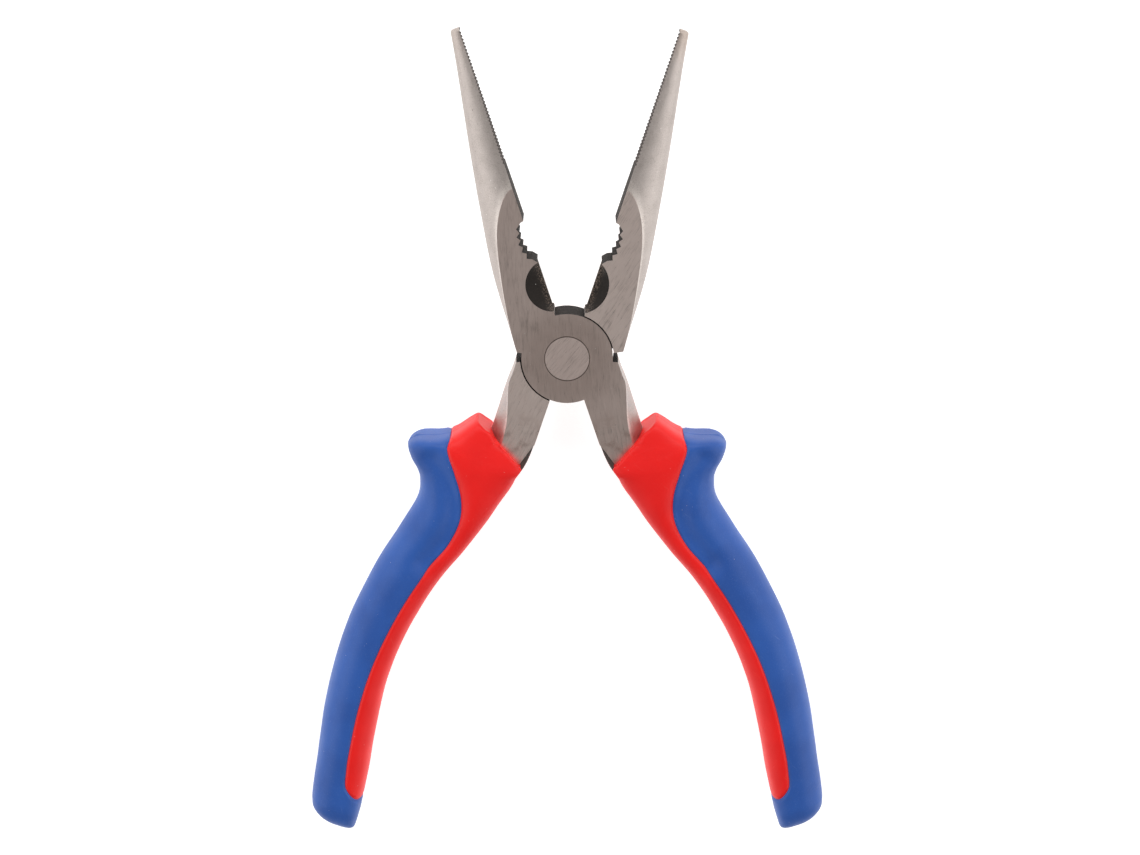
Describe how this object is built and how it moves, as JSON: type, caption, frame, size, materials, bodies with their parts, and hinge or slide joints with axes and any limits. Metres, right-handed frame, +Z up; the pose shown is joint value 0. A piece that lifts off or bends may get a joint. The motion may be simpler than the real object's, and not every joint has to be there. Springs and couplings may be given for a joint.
{
  "type": "needle nose pliers",
  "caption": "Long-nose pliers with tapering serrated jaws, a toothed pipe grip, a side cutter, a lapped pivot joint and two-colour cushioned handles.",
  "frame": {"origin": "middle of the underside of the whole tool's box, tool lying flat with its jaws open", "axes": "+Z up along the pivot axis, +Y from the handles toward the jaw tips, X across the tool"},
  "size_m": [0.1202, 0.1886, 0.0163],
  "materials": {
    "ground_steel": "ground side faces over blasted, as-forged flanks",
    "rivet_steel": "ground flush with the joint",
    "red_grip": "satin moulded elastomer",
    "blue_grip": "satin moulded elastomer"
  },
  "bodies": {
    "left_lever": {"left_jaw_lever": "ground_steel", "pivot_rivet": "rivet_steel", "sleeve_right": "red_grip", "cover_right": "blue_grip"},
    "right_lever": {"right_jaw_lever": "ground_steel", "sleeve_left": "red_grip", "cover_left": "blue_grip"}
  },
  "joints": [
    {"name": "pivot", "type": "hinge", "parent": "left_lever", "child": "right_lever", "pos_m": [0, 0.02132, 0.00813], "axis": [0, 0, 1], "range_deg": [-9, 36.4]}
  ]
}
